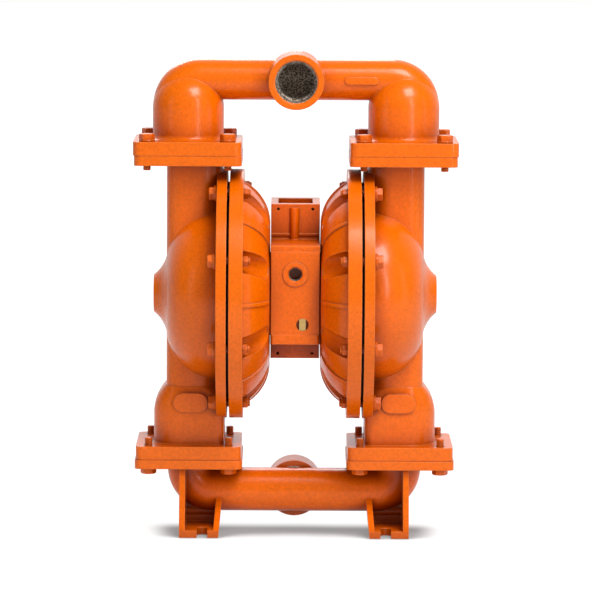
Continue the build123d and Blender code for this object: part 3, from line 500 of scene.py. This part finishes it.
# %% Port threads
inch = 25.4 * millimetre
pipe_pitch, air_pitch = inch / 11.5, inch / 14
thread_depth = 0.55
wall_gap = 0.1 * millimetre
mouth_chamfer = 2.0 * millimetre
thread_finish = new_material("bare_threaded_iron")
finish_with(thread_finish, bare_iron(thread_finish, "#40342C", "#9C9084"))
for port_name, pitch, mouth_y in (
        ("discharge_port", pipe_pitch, -0.065),
        ("inlet_port", pipe_pitch, 0.065),
        ("front_air_port", air_pitch, -0.085),
        ("air_valve_port", air_pitch, 0.172)):
    mount = mounts[port_name]
    wall = mount["dims"]["r_mm"] * millimetre
    reach = mount["dims"]["length_mm"] * millimetre - mouth_chamfer
    helix = thread_mesh(port_name + "_thread", wall - wall_gap, pitch, thread_depth * pitch,
                        reach)
    out = Vector(mount["axis"])
    center = mount["pos_m"]
    stand_on(helix, (center[0], mouth_y - mouth_chamfer * out.y, center[2]), out)
    helix.data.materials.append(thread_finish)
    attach(helix, "pump_body")
    print(helix.name, "turns", int(reach / pitch))

# %% [markdown]
# ## Bolts and nuts
#
# The solids hold each bolt as a rod, a disc and a plain six-sided prism. The real ones are
# forged and then turned: a 30 degree chamfer takes the corners off each head and leaves an
# arc on every flat, the washer has a soft rim, and a thread shows where the bolt comes
# through. They could be cut with booleans, but every one of these forms is a stack of rows
# about an axis. A row gives, for each step round the axis, how far out and how high the
# surface is. A round row has one radius, a hexagon's changes with the angle, and a thread's
# changes with the angle and the height together.

# %% Rows about an axis
row_steps = 48
chamfer_slope = tan(radians(30))
chamfer_circle = 0.475
rows_per_turn = 4
bolt_thread_depth = 0.6


def round_row(radius, height):
    return [(radius, height)] * row_steps


def hexagon_row(flats, height, chamfer=0.0):
    # A six-sided row. With a chamfer of 1 or -1 its corners drop below or rise above height.
    row = []
    for step in range(row_steps):
        radius = flats / 2 / cos(tau * step / row_steps % (tau / 6) - tau / 12)
        row.append((radius, height - chamfer * (radius - chamfer_circle * flats) * chamfer_slope))
    return row


def thread_rows(crest, pitch, tip, end):
    # A right-hand thread from the bolt's tip upwards, with a chamfered first turn.
    rows = []
    depth = bolt_thread_depth * pitch
    for index in range(int(rows_per_turn * (end - tip) / pitch) + 1):
        height = tip + index * pitch / rows_per_turn
        turns = [(height / pitch - step / row_steps) % 1 for step in range(row_steps)]
        rows.append([(min(crest - depth * abs(2 * turn - 1), crest - depth + height - tip), height)
                     for turn in turns])
    return rows


print("rows of", row_steps, "points")

# %% [markdown]
# ## From rows to a closed form
#
# Each row is joined to the next by a belt of four-sided faces. A solid form, such as a bolt,
# is closed by a cap at each end, and a ring, such as a nut, joins its last row to its first.


# %% Forms from rows
def spun(rows, ring=False):
    # Vertices and faces of rows about +Z. A ring's last row joins its first row, and any
    # other form is closed by a cap at each end.
    vertices = []
    for row in rows:
        for step, (radius, height) in enumerate(row):
            angle = tau * step / row_steps
            vertices.append(Vector((radius * cos(angle), radius * sin(angle), height)))
    starts = [index * row_steps for index in range(len(rows))]
    faces = []
    for low, high in zip(starts, starts[1:] + starts[:1] if ring else starts[1:]):
        for step in range(row_steps):
            after = (step + 1) % row_steps
            faces.append((low + step, low + after, high + after, high + step))
    if not ring:
        faces.append(tuple(reversed(range(row_steps))))
        faces.append(tuple(range(starts[-1], starts[-1] + row_steps)))
    return vertices, faces


print("one form has", row_steps, "steps round its axis")

# %% [markdown]
# ## A bolt and a nut
#
# One bolt goes from the tip of its thread up to the top of its head, with the washer's rim
# in between. The washer stands on height 0, which makes it easy to seat. A nut is a ring of
# the same rows. Each is made once and copied.

# %% Bolt and nut forms
washer_radius = 11.0 * millimetre
washer_soft = 0.4 * millimetre
coarse_pitch = 1.75 * millimetre


def bolt_form(flats, head, washer, shank_radius, tip, thread_end):
    inner = washer_radius - washer_soft
    rows = thread_rows(shank_radius, coarse_pitch, tip, thread_end)
    rows += [round_row(shank_radius, thread_end + coarse_pitch / 2),
             round_row(shank_radius, 0.0), round_row(inner, 0.0),
             round_row(washer_radius, washer_soft),
             round_row(washer_radius, washer - washer_soft), round_row(inner, washer),
             hexagon_row(flats, washer), hexagon_row(flats, washer + head, 1.0),
             round_row(chamfer_circle * flats, washer + head)]
    return spun(rows)


def nut_form(flats, height, bore_radius):
    rim = chamfer_circle * flats
    return spun([round_row(bore_radius, 0.0), round_row(rim, 0.0),
                 hexagon_row(flats, 0.0, -1.0), hexagon_row(flats, height, 1.0),
                 round_row(rim, height), round_row(bore_radius, height)], ring=True)


print("washer", 2 * washer_radius, "m across")

# %% [markdown]
# ## Seats for a form
#
# A seat is the point that a form stands on. Copies of one form are joined in one mesh, as
# the frame keeps each set of bolts in one solid. Flat faces meet at more than 28 degrees
# and stay sharp, while the rims and threads are shaded smooth. A set of fasteners replaces
# the plain one and rides on the same body.

# %% Seated pieces
sharp_angle = radians(28)


def seated(name, form, seats, out, finish):
    # Copies one form to every seat, with its +Z turned along out.
    turn = Vector(out).to_track_quat("Z", "Y").to_matrix().to_4x4()
    form_vertices, form_faces = form
    vertices, faces = [], []
    for seat in seats:
        place = Matrix.Translation(seat) @ turn
        first = len(vertices)
        vertices += [place @ vertex for vertex in form_vertices]
        faces += [tuple(first + corner for corner in face) for face in form_faces]
    mesh = bpy.data.meshes.new(name)
    mesh.from_pydata(vertices, [], faces)
    mesh.shade_smooth()
    mesh.set_sharp_from_angle(angle=sharp_angle)
    mesh.materials.append(finish)
    piece = bpy.data.objects.new(name, mesh)
    bpy.context.scene.collection.objects.link(piece)
    print(piece.name, len(seats), "pieces", len(faces), "faces")
    return piece


def fastener_set(node, form, seats, out):
    piece = seated("forged_" + node, form, seats, out, enamel_on_bolts)
    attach(piece, "pump_body")
    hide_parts(node)


print("sharp from", round(sharp_angle, 3), "radians")

# %% [markdown]
# ## Bolts at the manifold joints
#
# Each set is one solid in the frame, so its box says where the bolts are: a joint has four,
# near the corners of the box, and the washers touch the box's sides. The discharge bolts
# point up and the inlet bolts down. The thread reaches a little past the flange.

# %% Joint bolts
joint_flats, joint_shank = 19.0 * millimetre, 5.6 * millimetre
joint_washer, joint_run = 2.5 * millimetre, 3.0 * millimetre
for node, head_height, stub_length, up in (("discharge_bolts", 8.0, 7.0, 1),
                                           ("inlet_bolts", 5.9, 11.0, -1)):
    head, stub = head_height * millimetre, stub_length * millimetre
    for side in ("right_", "left_"):
        low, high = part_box(side + node)
        head_end, tip = (high[2], low[2]) if up > 0 else (low[2], high[2])
        face = head_end - up * (head + joint_washer)
        seats = [(x, y, face) for x in (low[0] + washer_radius, high[0] - washer_radius)
                 for y in (low[1] + washer_radius, high[1] - washer_radius)]
        grip = -abs(face - tip)
        form = bolt_form(joint_flats, head, joint_washer, joint_shank, grip,
                         grip + stub + joint_run)
        fastener_set(side + node, form, seats, (0, 0, up))

# %% [markdown]
# ## Bolts and nuts round the rims
#
# A rim has eight bolts, on a circle that starts half a step from the top. Their heads are
# on the liquid side and their nuts in the pockets of the air chamber.

# %% Rim bolts and nuts
rim_count = 8
rim_flats, rim_nut_flats = 17.0 * millimetre, 14.0 * millimetre
rim_shank, rim_nut_bore = 6.2 * millimetre, 6.25 * millimetre
rim_head, rim_washer = 7.2 * millimetre, 4.0 * millimetre
nut_height, rim_run = 7.0 * millimetre, 6.0 * millimetre
for side, out in (("right_", 1), ("left_", -1)):
    low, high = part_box(side + "rim_bolts")
    circle = ((high[1] - low[1]) / 2 - washer_radius) / cos(tau / (2 * rim_count))
    middle_height = (low[2] + high[2]) / 2
    head_end, tip = (high[0], low[0]) if out > 0 else (low[0], high[0])
    face = head_end - out * (rim_head + rim_washer)
    grip = -abs(face - tip)
    turns = [tau * (index + 0.5) / rim_count for index in range(rim_count)]
    ring = [(circle * sin(turn), middle_height + circle * cos(turn)) for turn in turns]
    form = bolt_form(rim_flats, rim_head, rim_washer, rim_shank, grip,
                     grip + nut_height + rim_run)
    fastener_set(side + "rim_bolts", form, [(face, y, z) for y, z in ring], (out, 0, 0))
    low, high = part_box(side + "rim_nuts")
    nut_face = low[0] if out > 0 else high[0]
    form = nut_form(rim_nut_flats, nut_height, rim_nut_bore)
    fastener_set(side + "rim_nuts", form, [(nut_face, y, z) for y, z in ring], (out, 0, 0))

# %% [markdown]
# ## Diaphragms with a soft slope
#
# Each diaphragm is a moulded rubber disc. Its bead is clamped between the rims and its middle
# between two pistons, which slide with the shaft. A rigid disc would be cut by the piston, and a
# bend modifier would need a curve. Rows about the axis make the same disc again, with a soft slope
# from the clamped middle out to the bead.

# %% Sloped diaphragms
hub_thickness, bead_thickness = 6.0 * millimetre, 3.6 * millimetre
clamped_bead, clamped_radius = 23.2 * millimetre, 65.0 * millimetre
slope_steps = 8
shaft_gap = 0.3 * millimetre


def diaphragm_rows(depth, bead_radius, hole_radius):
    # From the hub's back, height 0, out to the bead's front, height depth, and back.
    back, front = [round_row(hole_radius, 0.0)], [round_row(hole_radius, hub_thickness)]
    for step in range(slope_steps + 1):
        share = step / slope_steps
        radius = clamped_radius + share * (bead_radius - clamped_bead - clamped_radius)
        rise = share * share * (3 - 2 * share)
        back.append(round_row(radius, rise * (depth - bead_thickness)))
        front.append(round_row(radius, hub_thickness + rise * (depth - hub_thickness)))
    back.append(round_row(bead_radius, depth - bead_thickness))
    front.append(round_row(bead_radius, depth))
    return spun(back + front[::-1], ring=True)


shaft_low, shaft_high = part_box("diaphragm_shaft")
hole_radius = (shaft_high[1] - shaft_low[1]) / 2 + shaft_gap
for side, out in (("right_", 1), ("left_", -1)):
    low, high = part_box(side + "diaphragm")
    hub_face = low[0] if out > 0 else high[0]
    axis_height = (low[2] + high[2]) / 2
    form = diaphragm_rows(high[0] - low[0], (high[1] - low[1]) / 2, hole_radius)
    disc = seated("flexing_" + side + "diaphragm", form, [(hub_face, 0.0, axis_height)],
                  (out, 0, 0), slot_materials["diaphragm_rubber"])
    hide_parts(side + "diaphragm")
    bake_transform(disc)
print("hole in the hub", round(2 * hole_radius, 4), "m across")

# %% [markdown]
# ## Floor
#
# A catalogue picture has no horizon: the pump stands on a sheet of white paper that is
# larger than the picture. It lies half a millimetre under the feet, and as part of the
# stage it stays out of the model.

# %% Floor sheet
floor_half = 12.0
floor_drop = 0.5 * millimetre
floor_mesh = bpy.data.meshes.new("floor_sheet")
corners = [(-floor_half, -floor_half, 0), (floor_half, -floor_half, 0),
           (floor_half, floor_half, 0), (-floor_half, floor_half, 0)]
floor_mesh.from_pydata(corners, [], [(0, 1, 2, 3)])
floor = bpy.data.objects.new("floor", floor_mesh)
floor.location.z = -floor_drop
bpy.context.scene.collection.objects.link(floor)
print("floor", 2 * floor_half, "m wide")

# %% [markdown]
# ## White paper
#
# To the camera, and in reflections, the paper also glows, which lifts it to pure white.
# Gloss mirrors about half of that, because the real paper ends a little way in front. In a narrow
# band under the pump the glow is taken away, most where ambient occlusion finds the feet and the
# lower tube close above, so that a soft dark line stays: a painted shadow.

# %% White paper
shade_reach = 0.09
shade_middle = (0.0, -0.032, 0.0)
open_glow, shaded_glow, far_glow = 0.97, 0.25, 0.12
mirrored_share = 0.55
paper = new_material("white_paper_floor")
matte = add(paper, "ShaderNodeBsdfDiffuse", Color=paint_chart("#E8E8E8"))
weak_matte = add(paper, "ShaderNodeBsdfDiffuse", Color=paint_chart("#6A6A6A"))
# A painted shadow: ambient occlusion and a fixed band under the pump take the glow away.
crevice = add(paper, "ShaderNodeAmbientOcclusion", {"samples": 16}, Distance=shade_reach)
open_sky = add(paper, "ShaderNodeMapRange", {"interpolation_type": "SMOOTHSTEP"},
               Value=crevice.outputs["AO"], in_1=0.50, in_2=0.95, in_3=shaded_glow,
               in_4=open_glow)
place = add(paper, "ShaderNodeTexCoord").outputs["Object"]
from_pump = add(paper, "ShaderNodeVectorMath", {"operation": "SUBTRACT"}, in_0=place,
                in_1=shade_middle)
beside = add(paper, "ShaderNodeVectorMath", {"operation": "ABSOLUTE"}, in_0=from_pump.outputs[0])
sides = add(paper, "ShaderNodeSeparateXYZ", Vector=beside.outputs[0])
near_y = add(paper, "ShaderNodeMapRange", {"interpolation_type": "SMOOTHSTEP"},
             Value=sides.outputs["Y"], in_1=0.025, in_2=0.090, in_3=1.0, in_4=0.0)
near_x = add(paper, "ShaderNodeMapRange", {"interpolation_type": "SMOOTHSTEP"},
             Value=sides.outputs["X"], in_1=0.17, in_2=0.225, in_3=1.0, in_4=0.0)
# The band where the painted shadow lies, under the feet and the lower tube.
painted_shadow_band = add(paper, "ShaderNodeMath", {"operation": "MULTIPLY"}, in_0=near_y.outputs[0],
           in_1=near_x.outputs[0])
under = add(paper, "ShaderNodeMix", {"data_type": "FLOAT"}, in_0=painted_shadow_band.outputs[0],
            in_2=open_glow, in_3=open_sky.outputs[0])
distance = add(paper, "ShaderNodeVectorMath", {"operation": "LENGTH"}, in_0=place)
far = add(paper, "ShaderNodeMapRange", {"interpolation_type": "SMOOTHSTEP"},
          Value=distance.outputs["Value"], in_1=0.45, in_2=1.3, in_3=0.0, in_4=far_glow)
strength = add(paper, "ShaderNodeMath", {"operation": "ADD"}, in_0=under.outputs[0],
               in_1=far.outputs[0])
glow = add(paper, "ShaderNodeEmission", Color=paint_chart("#FFFFFF"), Strength=strength.outputs[0])
seen = add(paper, "ShaderNodeAddShader", in_0=weak_matte.outputs[0], in_1=glow.outputs[0])
path = add(paper, "ShaderNodeLightPath")
mirrored = add(paper, "ShaderNodeMath", {"operation": "MULTIPLY"},
               in_0=path.outputs["Is Glossy Ray"], in_1=mirrored_share)
through = add(paper, "ShaderNodeMath", {"operation": "MAXIMUM"}, in_0=path.outputs["Is Camera Ray"],
              in_1=path.outputs["Is Transmission Ray"])
direct = add(paper, "ShaderNodeMath", {"operation": "MAXIMUM"}, in_0=through.outputs[0],
             in_1=mirrored.outputs[0])
sheet = add(paper, "ShaderNodeMixShader", in_0=direct.outputs[0], in_1=matte.outputs[0],
            in_2=seen.outputs[0])
floor_mesh.materials.append(finish_with(paper, sheet))
print("glow", open_glow, "in the open and", shaded_glow, "in the shade")

# %% [markdown]
# ## The room
#
# The world fills what the lamps leave dark, more from the front, and is white where the
# camera sees it. Gloss mirrors a white room behind the pump and a dim one in front, which
# keeps the orange deep.

# %% World
world = bpy.data.worlds.new("white_studio")
world.use_nodes = True
world.node_tree.nodes.clear()
outward = add(world, "ShaderNodeTexCoord").outputs["Generated"]
split = add(world, "ShaderNodeSeparateXYZ", Vector=outward)
behind = add(world, "ShaderNodeMapRange", {"interpolation_type": "SMOOTHSTEP"},
             Value=split.outputs["Y"], in_1=-0.2, in_2=0.8, in_3=0.05, in_4=1.0)
before = add(world, "ShaderNodeMapRange", {"interpolation_type": "SMOOTHSTEP"},
             Value=split.outputs["Y"], in_1=-1.0, in_2=0.3, in_3=0.68, in_4=0.18)
room = add(world, "ShaderNodeBackground", Color=paint_chart("#FFFFFF"), Strength=before.outputs[0])
mirrored_room = add(world, "ShaderNodeBackground", Color=paint_chart("#FFFFFF"),
                    Strength=behind.outputs[0])
backdrop = add(world, "ShaderNodeBackground", Color=paint_chart("#FFFFFF"), Strength=1.0)
ray = add(world, "ShaderNodeLightPath")
gloss = add(world, "ShaderNodeMixShader", in_0=ray.outputs["Is Glossy Ray"],
            in_1=room.outputs[0], in_2=mirrored_room.outputs[0])
seen_ray = add(world, "ShaderNodeMath", {"operation": "MAXIMUM"},
               in_0=ray.outputs["Is Camera Ray"], in_1=ray.outputs["Is Transmission Ray"])
either = add(world, "ShaderNodeMixShader", in_0=seen_ray.outputs[0], in_1=gloss.outputs[0],
             in_2=backdrop.outputs[0])
world_output = add(world, "ShaderNodeOutputWorld")
world.node_tree.links.new(either.outputs[0], world_output.inputs["Surface"])
bpy.context.scene.world = world
print("world", world.name)

# %% [markdown]
# ## Soft boxes
#
# The picture was lit by soft boxes. The main one is high in front and to the right. A tall
# narrow one, lower on the same side, draws the bright streak down each round column, and
# one at each side makes the pale edges. One high behind lights the back and the tops.


# %% Lamps
def soft_box(name, place, aim, width, height, watts):
    data = bpy.data.lights.new(name, "AREA")
    data.shape = "RECTANGLE"
    data.size, data.size_y = width, height
    data.energy = watts
    lamp = bpy.data.objects.new(name, data)
    bpy.context.scene.collection.objects.link(lamp)
    lamp.location = place
    lamp.rotation_mode = "QUATERNION"
    lamp.rotation_quaternion = (Vector(aim) - Vector(place)).to_track_quat("-Z", "Y")


middle = (0.0, 0.0, 0.34)
soft_box("key_box", (0.75, -1.40, 2.65), middle, 1.1, 1.1, 63)
soft_box("strip_box", (0.95, -1.70, 1.0), middle, 0.22, 1.3, 8)
soft_box("left_box", (-1.9, -1.1, 0.9), middle, 0.3, 1.4, 1.6)
soft_box("right_box", (2.4, -0.8, 0.9), middle, 0.4, 1.8, 2.5)
soft_box("back_box", (-0.4, 2.2, 1.9), middle, 1.4, 1.0, 24)
bpy.context.scene.view_settings.view_transform = "Standard"
print("lamps", len(bpy.data.lights))
